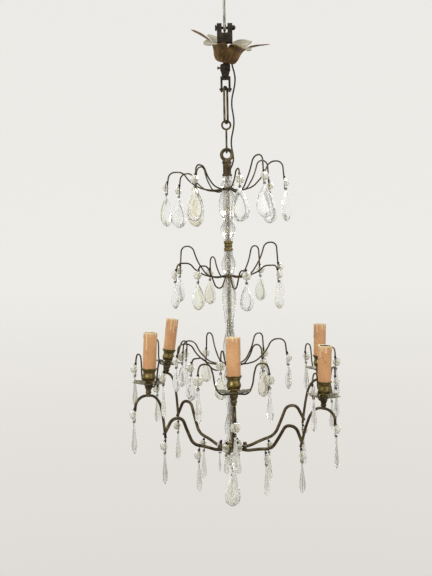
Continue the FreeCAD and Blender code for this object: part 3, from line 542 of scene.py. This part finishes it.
def candle_cup():
    """A turned vase with a beaded foot."""
    outline = smooth_outline([(4.4, 0.0), (6.6, 0.0), (7.2, 1.2), (5.9, 2.4), (6.8, 3.6), (9.9, 5.8), (11.7, 9.2),
                              (11.9, 12.2), (10.9, 15.6), (10.3, 18.2), (10.9, 21.0), (12.5, 24.2), (13.8, 25.9),
                              (13.7, 26.8)], 4)
    inside = [(12.5, 26.6), (12.35, 23.1), (10.1, 23.0), (10.1, 4.2), (4.4, 4.1)]

    def beads(angle, z):
        return 1 + 0.012 * math.cos(angle * 24) * math.exp(-((z - 1.2) / 1.2) ** 2)

    return lathe(outline + inside, 72, beads)


def leaf_pan():
    """A thin dish with six veined leaves."""
    around, rows = 144, 16
    verts, faces = [], []
    for side in (1, -1):
        for k in range(around):
            angle = TAU * k / around
            petal = abs(math.cos(3 * angle))
            reach = 21.5 + 9.4 * petal ** 1.4
            for j in range(rows):
                t = j / (rows - 1)
                r = 4.6 + (reach - 4.6) * t
                rise = 0.0 if r < 12 else 4.0 * ((r - 12) / 19) ** 1.3
                vein = 0.30 * math.exp(-(math.sin(3 * angle) / 0.10) ** 2) * t
                curl = 0.9 * math.sin(3 * angle) ** 2 * t ** 3 + 0.25 * math.cos(18 * angle) * t ** 2
                z = rise + curl + vein + (0.95 if side > 0 else 0.15) * (1 if t < 0.97 else 0.55 + side * 0.01)
                verts.append((r * math.cos(angle) * MM, r * math.sin(angle) * MM, z * MM))
    layer = around * rows
    for k in range(around):
        a, b = k * rows, ((k + 1) % around) * rows
        for j in range(rows - 1):
            faces.append((a + j, b + j, b + j + 1, a + j + 1))
            faces.append((layer + a + j + 1, layer + b + j + 1, layer + b + j, layer + a + j))
        faces.append((a + rows - 1, b + rows - 1, layer + b + rows - 1, layer + a + rows - 1))
        faces.append((b, a, layer + a, layer + b))
    return verts, faces


def candle_sleeve(seed):
    """A card tube with wax drips and an uneven pale rim.

    It gives the vertices, the outer faces, the inner faces, and how pale each vertex is.
    """
    around, height, radius, wall = 96, 66.0, 11.75, 1.1
    drips = []
    for k in range(9):
        where = TAU * ((k * 0.618 + seed * 0.37) % 1.0)
        length = 7.0 + 26.0 * ((k * 0.427 + seed * 0.61) % 1.0) ** 1.6
        drips.append((where, 0.075 + 0.05 * ((k * 0.313 + seed * 0.17) % 1.0), length,
                      0.40 + 0.45 * ((k * 0.731 + seed * 0.23) % 1.0)))
    levels = [height * t for t in np.linspace(0, 1, 56)]
    verts, pale = [], []
    for k in range(around):
        angle = TAU * k / around
        wave = 0.5 * math.sin(2 * angle + seed) + 0.35 * math.sin(5 * angle + 2.1 * seed)
        for z in levels:
            down = height - z
            swell, white = 0.0, 0.0
            for where, width, length, thick in drips:
                away = (angle - where + math.pi) % TAU - math.pi
                if down > length + 3:
                    continue
                bulb = 1.0 + 0.9 * math.exp(-((down - length) / 1.6) ** 2)
                fade = 1.0 if down < length else math.exp(-((down - length) / 1.0) ** 2)
                across = math.exp(-(away / (width * (0.75 + 0.25 * bulb))) ** 2)
                swell = max(swell, thick * across * bulb * fade * 0.8)
                white = max(white, 0.55 * across * fade)
            lip = math.exp(-(down / 2.2) ** 2)
            spot = Vector((math.cos(angle) * 3, math.sin(angle) * 3, z * 0.12 + seed * 9))
            rough = 0.06 * noise.noise(spot)
            r = radius + swell + 0.35 * lip + rough
            top = z + (wave * lip if down < 4 else 0.0) * (1 if down < 0.01 else 0.6)
            verts.append((r * math.cos(angle) * MM, r * math.sin(angle) * MM, min(top, height + 0.4) * MM))
            pale.append(min(1.0, white + 0.95 * math.exp(-(down / 2.6) ** 2)))
    rows = len(levels)
    inner = len(verts)
    for k in range(around):
        angle = TAU * k / around
        for z in (height - 0.5, height - 2.0, 0.0):
            r = radius - wall - (0.25 if z > height - 1 else 0.0)
            verts.append((r * math.cos(angle) * MM, r * math.sin(angle) * MM, z * MM))
            pale.append(0.8 if z > height - 1 else 0.0)
    outer_faces, inner_faces = [], []
    for k in range(around):
        a, b = k * rows, ((k + 1) % around) * rows
        c, d = inner + k * 3, inner + ((k + 1) % around) * 3
        for j in range(rows - 1):
            outer_faces.append((a + j, b + j, b + j + 1, a + j + 1))
        outer_faces.append((a + rows - 1, b + rows - 1, d, c))
        inner_faces += [(c, d, d + 1, c + 1), (c + 1, d + 1, d + 2, c + 2), (c + 2, d + 2, b, a)]
    return verts, outer_faces, inner_faces, pale


cups, pans = Soup(), Soup()
cup_shape, pan_shape = candle_cup(), leaf_pan()
for candle in CANDLES:
    cups.add(cup_shape, candle @ Matrix.Translation((0, 0, STACK["cup"] * MM)))
    pans.add(pan_shape, candle @ Matrix.Translation((0, 0, STACK["pan"] * MM)))
piece("candle_cup_vases", cups.verts, cups.faces, GILT, "chandelier", ["candle_cups"], 50)
piece("leaf_drip_pans", pans.verts, pans.faces, LEAF, "chandelier", ["drip_pans"], 50)

sleeve_verts, sleeve_faces, sleeve_inner, sleeve_pale = [], [], [], []
for number, candle in enumerate(CANDLES):
    verts, outer, inner, pale = candle_sleeve(number + 1)
    place = candle @ Matrix.Translation((0, 0, STACK["sleeve"] * MM))
    start = len(sleeve_verts)
    sleeve_verts += [place @ Vector(v) for v in verts]
    sleeve_faces += [tuple(start + k for k in face) for face in outer]
    sleeve_inner += [tuple(start + k for k in face) for face in inner]
    sleeve_pale += pale
sleeves = piece("waxed_sleeves", sleeve_verts, sleeve_faces + sleeve_inner, CARD, "chandelier",
                ["candle_sleeves"], 60, (SLEEVE_IN_PAINTED_SHADE,))
# The inner faces take the painted shade of the hollow.
for face in sleeves.data.polygons[len(sleeve_faces):]:
    face.material_index = 1
sleeves.data.attributes.new("pale", "FLOAT", "POINT").data.foreach_set("value", sleeve_pale)

# ---------------------------------------------------------------- column of glass and brass

# The bore's radius in mm; each outline is (radius in mm, share of the height).
BORE = 4.35
CUP_OUTLINE = [(6.0, 0.0), (9.4, 0.01), (12.6, 0.14), (13.4, 0.24), (12.2, 0.40), (9.0, 0.55), (7.2, 0.66),
               (8.8, 0.82), (9.2, 0.92), (8.0, 0.99)]
UPPER_OUTLINE = [(6.6, 0.0), (8.0, 0.01), (8.8, 0.06), (11.5, 0.12), (14.2, 0.19), (14.4, 0.26), (11.4, 0.33),
                 (8.6, 0.39), (9.0, 0.44), (13.4, 0.53), (16.2, 0.61), (16.9, 0.68), (16.4, 0.78), (14.0, 0.89),
                 (10.6, 0.97), (9.4, 0.995)]
MIDDLE_OUTLINE = [(7.0, 0.0), (8.8, 0.02), (9.2, 0.09), (11.6, 0.20), (13.3, 0.33), (13.3, 0.48), (11.0, 0.66),
                  (8.2, 0.81), (8.6, 0.90), (9.0, 0.98)]
LOWER_OUTLINE = [(7.0, 0.0), (8.2, 0.008), (8.4, 0.03), (10.6, 0.08), (12.7, 0.14), (12.8, 0.21), (10.2, 0.29),
                 (7.6, 0.36), (7.8, 0.43), (9.6, 0.51), (11.4, 0.60), (13.0, 0.70), (13.4, 0.77), (12.2, 0.87),
                 (9.2, 0.95), (8.2, 0.99)]


def column_glass(name, node, outline, around, flutes, depth):
    """Turned and fluted glass on the rod, one for each solid of the node."""
    glass_mesh = Soup()
    for _, low, high, _ in islands(node):
        tall = (high.z - low.z) / MM
        full = smooth_outline([(r, z * tall) for r, z in outline], 4) + [(BORE, tall), (BORE, 0.0)]
        shape = lathe(full, around, lambda angle, z: 1 - depth * (0.5 - 0.5 * math.cos(flutes * angle)))
        glass_mesh.add(shape, Matrix.Translation((0, 0, low.z)))
    piece(name, glass_mesh.verts, glass_mesh.faces, CLEAR, "chandelier", [node], 25)


column_glass("cut_glass_cup", "glass_cup", CUP_OUTLINE, 64, 16, 0.14)
column_glass("upper_glass_baluster", "upper_baluster", UPPER_OUTLINE, 72, 12, 0.07)
column_glass("middle_glass_baluster", "middle_baluster", MIDDLE_OUTLINE, 72, 12, 0.07)
column_glass("lower_glass_balusters", "lower_balusters", LOWER_OUTLINE, 72, 12, 0.06)

# ---------------------------------------------------------------- drops, rosettes and their wire loops

# Each size is (width, height, thickness) in mm; the hinge is NECK under a drop's top.
PEAR = [(0.0, 0.10), (0.05, 0.19), (0.15, 0.40), (0.29, 0.67), (0.43, 0.86), (0.57, 0.97), (0.70, 1.0),
        (0.82, 0.91), (0.91, 0.69), (0.97, 0.38), (1.0, 0.06)]
NECK = 2.6
GLASS_TOP = -1.6
LOOP = ring_mesh(2.1, 0.62)
ACROSS = Matrix.Rotation(math.pi / 2, 4, "Z")
FINIAL_SIZE = (30.0, 62.0, 8.0)
TIER_SIZES = {1: (34.0, 64.0, 7.0), 2: (25.0, 52.0, 6.5), 3: (22.0, 48.0, 6.0)}
TINTS = [CLEAR, CLEAR, YELLOW, CLEAR, SMOKY, CLEAR, YELLOW, SMOKY]

HINGES = {j["child"]: j for j in frame["joints"] if "_drop" in j["child"]}
for child, joint in sorted(HINGES.items()):
    azimuth = math.atan2(joint["axis"][0], -joint["axis"][1])
    place = facing(azimuth, joint["pos_m"])
    if child == "finial_drop":
        (width, height, thickness), tint = FINIAL_SIZE, YELLOW
    else:
        tier, number = int(child.split("_")[1]), int(child.split("_")[-1])
        width, height, thickness = TIER_SIZES[tier]
        tint = TINTS[(number + 3 * tier) % len(TINTS)]
    drop, loop = Soup(), Soup()
    drop.add(cut_drop(width, height - NECK + GLASS_TOP, thickness, PEAR, GLASS_TOP), place)
    piece(f"{child}_glass", drop.verts, drop.faces, tint, child, [child])
    loop.add(LOOP, place @ ACROSS)
    piece(f"{child}_loop", loop.verts, loop.faces, WIRE, child, (), 60)


BEAD_RADIUS, BEAD_DEPTH = 8.9, 6.4
BEAD_BACK, PEG_BACK, KNOT_ABOVE = 3.1, 4.5, 1.2
beads, knots = Soup(), Soup()
bead_shape = star_bead(BEAD_RADIUS, BEAD_DEPTH)
knot_shape = wire_knot()
for middle, _, high, azimuth in islands("rosettes"):
    out = outwards(azimuth)
    beads.add(bead_shape, facing(azimuth, middle - out * BEAD_BACK * MM))
    top = Vector((middle.x, middle.y, high.z + KNOT_ABOVE * MM))
    knots.add(knot_shape, facing(azimuth, top - out * PEG_BACK * MM))
piece("star_rosettes", beads.verts, beads.faces, BEAD, "chandelier", ["rosettes"])
piece("wire_knots", knots.verts, knots.faces, IRON, "chandelier", (), 60)

LONG_SPEAR = spear(12.4, 54.5, 7.2, GLASS_TOP)
SHORT_SPEAR = spear(12.0, 33.8, 5.0, GLASS_TOP)
SHORT_UNDER = 45.0
spears, loops = Soup(), Soup()
for middle, low, high, azimuth in islands("arm_drops"):
    place = facing(azimuth, Vector((middle.x, middle.y, high.z - NECK * MM)))
    spears.add(SHORT_SPEAR if high.z - low.z < SHORT_UNDER * MM else LONG_SPEAR, place)
    loops.add(LOOP, place @ ACROSS)
piece("arm_spears", spears.verts, spears.faces, STRAW, "chandelier", ["arm_drops"])
piece("arm_spear_loops", loops.verts, loops.faces, WIRE, "chandelier", (), 60)

# finial: a faceted ball, and the wire under it
BALL_RADIUS = 14.0
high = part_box("finial_ball")[1]
ball = bmesh.new()
bmesh.ops.create_icosphere(ball, subdivisions=2, radius=(BALL_RADIUS - 0.1) * MM)
ball_verts = [v.co + Vector((0, 0, high.z - BALL_RADIUS * MM)) for v in ball.verts]
ball_faces = [tuple(v.index for v in f.verts) for f in ball.faces]
ball.free()
piece("faceted_ball", ball_verts, ball_faces, CLEAR, "chandelier", ["finial_ball"])
pivot = Vector(HINGES["finial_drop"]["pos_m"])
below_ball = (high.z - pivot.z) / MM - 2 * BALL_RADIUS + 1.5
HOOK = ((0, 3.4, below_ball), (0, 3.4, 3.0), (0, 3.2, 0.8), (0, 2.2, 0), (0, 0, 0), (0, -3.6, 0), (0, -4.2, 0.6))
hook_shape = tube_mesh([pivot + Vector(p) * MM for p in HOOK], 0.6, 8)
piece("finial_wire", hook_shape[0], hook_shape[1], WIRE, "chandelier", (), 60)

# ---------------------------------------------------------------- canopy

# The sheet's section along a petal, (radius, z) in mm above the seat.
CANOPY_PROFILE = smooth_outline([(6.6, 0.4), (12.0, 0.4), (16.6, 1.6), (20.0, 5.0), (22.8, 10.5), (25.0, 17.5),
                                 (29.0, 25.5), (36.0, 32.0), (46.0, 37.0), (58.0, 41.5), (67.0, 44.5),
                                 (75.0, 48.5)], 4)
# How far each petal's tip has been bent down, from the right round by the back, in mm.
PETAL_DROOP = (0.0, -2.0, 0.0, 0.0, 25.0, 17.0)
CANOPY_SEAT = -125.99
CANOPY_TILT, CANOPY_TURN = math.radians(23), math.radians(31)
SHEET = 1.1


def canopy_mesh():
    """A gadrooned cup that opens into six curled petals, as one sheet."""
    around = 240
    lengths = [0.0]
    for (r0, z0), (r1, z1) in zip(CANOPY_PROFILE, CANOPY_PROFILE[1:]):
        lengths.append(lengths[-1] + math.hypot(r1 - r0, z1 - z0))
    radii = [r for r, _ in CANOPY_PROFILE]
    heights = [z for _, z in CANOPY_PROFILE]
    rows = 44
    verts, faces = [], []
    for k in range(around):
        angle = TAU * k / around
        petal = abs(math.cos(3 * angle))
        which = int(round(angle / (TAU / 6))) % 6
        spread = math.sin(3 * angle)
        reach = 29.5 + 46.0 * petal ** 1.15 * (1 - 0.05 * (which % 2))
        longest = float(np.interp(reach, radii, lengths))
        for j in range(rows):
            s = longest * j / (rows - 1)
            r, z = float(np.interp(s, lengths, radii)), float(np.interp(s, lengths, heights))
            cup = math.exp(-((r - 21.5) / 6.0) ** 2)
            lobe = abs(math.sin(9 * angle))
            r += 2.3 * cup * (lobe - 0.80)
            out = min(1.0, max(0.0, (r - 30) / 40))
            z += 5.5 * out * spread ** 2 * (0.7 + 0.3 * math.sin(which * 2.4))
            z += (1.6 * math.sin(which * 1.9 + 0.6) - 1.0) * out ** 2
            z -= PETAL_DROOP[which] * max(0.0, (r - 27) / 50) ** 1.2 * petal ** 0.5
            z += 0.5 * math.cos(15 * angle) * out
            z -= 2.2 * max(0.0, (r - 68) / 8) ** 2
            z += 0.5 * noise.noise(Vector((math.cos(angle) * r, math.sin(angle) * r, 3.0)) * 0.09)
            verts.append(Vector((r * math.cos(angle), r * math.sin(angle), z)) * MM)
    for k in range(around):
        a, b = k * rows, ((k + 1) % around) * rows
        for j in range(rows - 1):
            faces.append((a + j, a + j + 1, b + j + 1, b + j))
    return verts, faces


verts, faces = canopy_mesh()
tilt_axis = Vector((math.cos(CANOPY_TURN), math.sin(CANOPY_TURN), 0))
tilt = Matrix.Translation((0, 0, CANOPY_SEAT * MM)) @ Matrix.Rotation(CANOPY_TILT, 4, tilt_axis)
canopy = piece("petal_canopy", [tilt @ v for v in verts], faces, CANOPY_IN, "canopy", ["canopy"], 60,
               (CANOPY_OUT,))
thick = canopy.modifiers.new("sheet", "SOLIDIFY")
thick.thickness = SHEET * MM
thick.offset = 0
thick.material_offset = 1
thick.material_offset_rim = 1

# ---------------------------------------------------------------- supply cable

# The same route as in the CAD part, in mm, from the canopy's bowl down to the stem socket.
CABLE_ROUTE = [(11.3, 0.3, -93.0), (10.9, 0.0, -106.5), (11.5, 0.0, -120.0), (13.4, 0.0, -133.0),
               (17.6, 0.6, -146.5), (18.4, 3.0, -161.0), (15.4, 6.6, -175.5), (11.6, 8.6, -190.5),
               (11.0, 8.2, -206.0), (13.6, 7.0, -221.0), (15.2, 7.6, -236.0), (13.2, 9.6, -250.5),
               (9.8, 11.8, -264.0), (9.0, 13.2, -278.5), (11.8, 13.6, -292.5), (13.2, 12.0, -305.0),
               (10.8, 8.6, -316.0), (6.0, 4.3, -326.0)]
curve = bpy.data.curves.new("cable_line", "CURVE")
curve.dimensions = "3D"
spline = curve.splines.new("NURBS")
spline.points.add(len(CABLE_ROUTE) - 1)
for point, place in zip(spline.points, CABLE_ROUTE):
    point.co = (*(c * MM for c in place), 1.0)
spline.order_u = 3
spline.use_endpoint_u = True
spline.resolution_u = 12
holder = bpy.data.objects.new("cable_line", curve)
line = bpy.data.meshes.new_from_object(holder)
cable_points = [v.co.copy() for v in line.vertices]
bpy.data.objects.remove(holder)
CABLE_RADIUS = 1.55
# Each stretch: its top and bottom, the bodies above and below its joint, and where its bend starts and ends.
STRETCHES = [("upper", 1.0, -0.1983, "suspension", "link", -0.135, -0.190),
             ("middle", -0.1983, -0.2573, "link", "eye_hook", -0.205, -0.250),
             ("lower", -0.2573, -1.0, "eye_hook", "chandelier", -0.262, -0.308)]
for which, top, bottom, upper, under, start, end in STRETCHES:
    inside = [k for k, p in enumerate(cable_points) if bottom <= p.z <= top]
    first, last = max(inside[0] - 1, 0), inside[-1]
    shape = tube_mesh(cable_points[first:last + 1], CABLE_RADIUS, 14)
    obj = piece(f"cable_{which}", shape[0], shape[1], CABLE, upper, [f"supply_cable_{which}"], 60)
    # It spans the joint between two bodies, so it rides on neither.
    obj.parent = None
    del obj["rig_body"]
    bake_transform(obj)

# ---------------------------------------------------------------- light, world and camera

scene = bpy.context.scene
world = bpy.data.worlds.new("studio")
scene.world = world
world.use_nodes = True
tree = world.node_tree
tree.nodes.clear()


def world_node(kind, **values):
    node = tree.nodes.new(kind)
    for key, value in values.items():
        setattr(node, key, value)
    return node


ways = world_node("ShaderNodeTexCoord")
split = world_node("ShaderNodeSeparateXYZ")
tree.links.new(ways.outputs["Generated"], split.inputs["Vector"])


def world_ramp(value, stops):
    node = world_node("ShaderNodeValToRGB")
    while len(node.color_ramp.elements) < len(stops):
        node.color_ramp.elements.new(0.5)
    for element, (position, colour) in zip(node.color_ramp.elements, stops):
        element.position = position
        element.color = (*colour, 1.0)
    tree.links.new(value, node.inputs["Fac"])
    return node.outputs["Color"]


height = world_node("ShaderNodeMapRange")
height.inputs["From Min"].default_value = -1.0
height.inputs["From Max"].default_value = 1.0
tree.links.new(split.outputs["Z"], height.inputs["Value"])
# The camera sees a plain pale backdrop; glass and metal see a room with darker uprights.
backdrop = world_ramp(height.outputs["Result"], [(0.30, (0.735, 0.705, 0.665)), (0.42, (0.79, 0.765, 0.725)),
                                                 (0.50, (0.845, 0.835, 0.80)), (0.70, (0.835, 0.825, 0.795))])
room = world_ramp(height.outputs["Result"], [(0.0, (0.40, 0.39, 0.36)), (0.35, (0.62, 0.605, 0.57)),
                                             (0.55, (0.83, 0.825, 0.80)), (1.0, (1.05, 1.05, 1.04))])
turn = world_node("ShaderNodeMath", operation="ARCTAN2")
tree.links.new(split.outputs["X"], turn.inputs[0])
tree.links.new(split.outputs["Y"], turn.inputs[1])
wave = world_node("ShaderNodeMath", operation="MULTIPLY")
wave.inputs[1].default_value = 9.0
tree.links.new(turn.outputs["Value"], wave.inputs[0])
sine = world_node("ShaderNodeMath", operation="SINE")
tree.links.new(wave.outputs["Value"], sine.inputs[0])
panels = world_ramp(sine.outputs["Value"], [(0.70, (1, 1, 1)), (0.88, (0.20, 0.185, 0.15))])
striped = world_node("ShaderNodeMix", data_type="RGBA", blend_type="MULTIPLY")
striped.inputs["Factor"].default_value = 0.7
tree.links.new(room, striped.inputs["A"])
tree.links.new(panels, striped.inputs["B"])
rays = world_node("ShaderNodeLightPath")
seen = world_node("ShaderNodeMix", data_type="RGBA")
tree.links.new(rays.outputs["Is Camera Ray"], seen.inputs["Factor"])
tree.links.new(striped.outputs["Result"], seen.inputs["A"])
tree.links.new(backdrop, seen.inputs["B"])
shine = world_node("ShaderNodeBackground")
shine.inputs["Strength"].default_value = 1.0
tree.links.new(seen.outputs["Result"], shine.inputs["Color"])
output = world_node("ShaderNodeOutputWorld")
tree.links.new(shine.outputs["Background"], output.inputs["Surface"])


def area_light(name, place, target, size, watts, colour):
    data = bpy.data.lights.new(name, "AREA")
    data.shape = "RECTANGLE"
    data.size, data.size_y = size
    data.energy = watts
    data.color = colour
    obj = bpy.data.objects.new(name, data)
    scene.collection.objects.link(obj)
    obj.location = place
    obj.rotation_mode = "QUATERNION"
    obj.rotation_quaternion = (Vector(target) - Vector(place)).to_track_quat("-Z", "Y")


MIDDLE = (0, 0, -0.5)
area_light("key", (-1.5, -1.9, 0.9), MIDDLE, (1.1, 1.4), 34, (1.0, 0.985, 0.95))
area_light("fill", (2.0, -1.6, -0.2), MIDDLE, (1.2, 1.6), 12, (1.0, 0.99, 0.97))
area_light("rim", (0.7, 1.9, 0.8), MIDDLE, (1.2, 0.8), 14, (1.0, 1.0, 1.0))

# The photograph's camera: level, on the chandelier's middle, and turned a little about its line of sight.
FOCAL_PIXELS, PHOTO_HEIGHT, SENSOR = 654.0, 576.0, 36.0
ROLL = math.radians(-1.0)
camera_data = bpy.data.cameras.new("camera")
camera_data.sensor_fit = "VERTICAL"
camera_data.sensor_height = SENSOR
camera_data.lens = FOCAL_PIXELS / PHOTO_HEIGHT * SENSOR
camera = bpy.data.objects.new("camera", camera_data)
scene.collection.objects.link(camera)
camera.location = (-0.0246, -1.23, -0.549)
camera.rotation_mode = "QUATERNION"
level = Matrix.Rotation(math.pi / 2, 4, "X")
camera.rotation_quaternion = (level @ Matrix.Rotation(ROLL, 4, "Z")).to_quaternion()
scene.camera = camera
scene.view_settings.view_transform = "Standard"

bpy.context.view_layer.update()
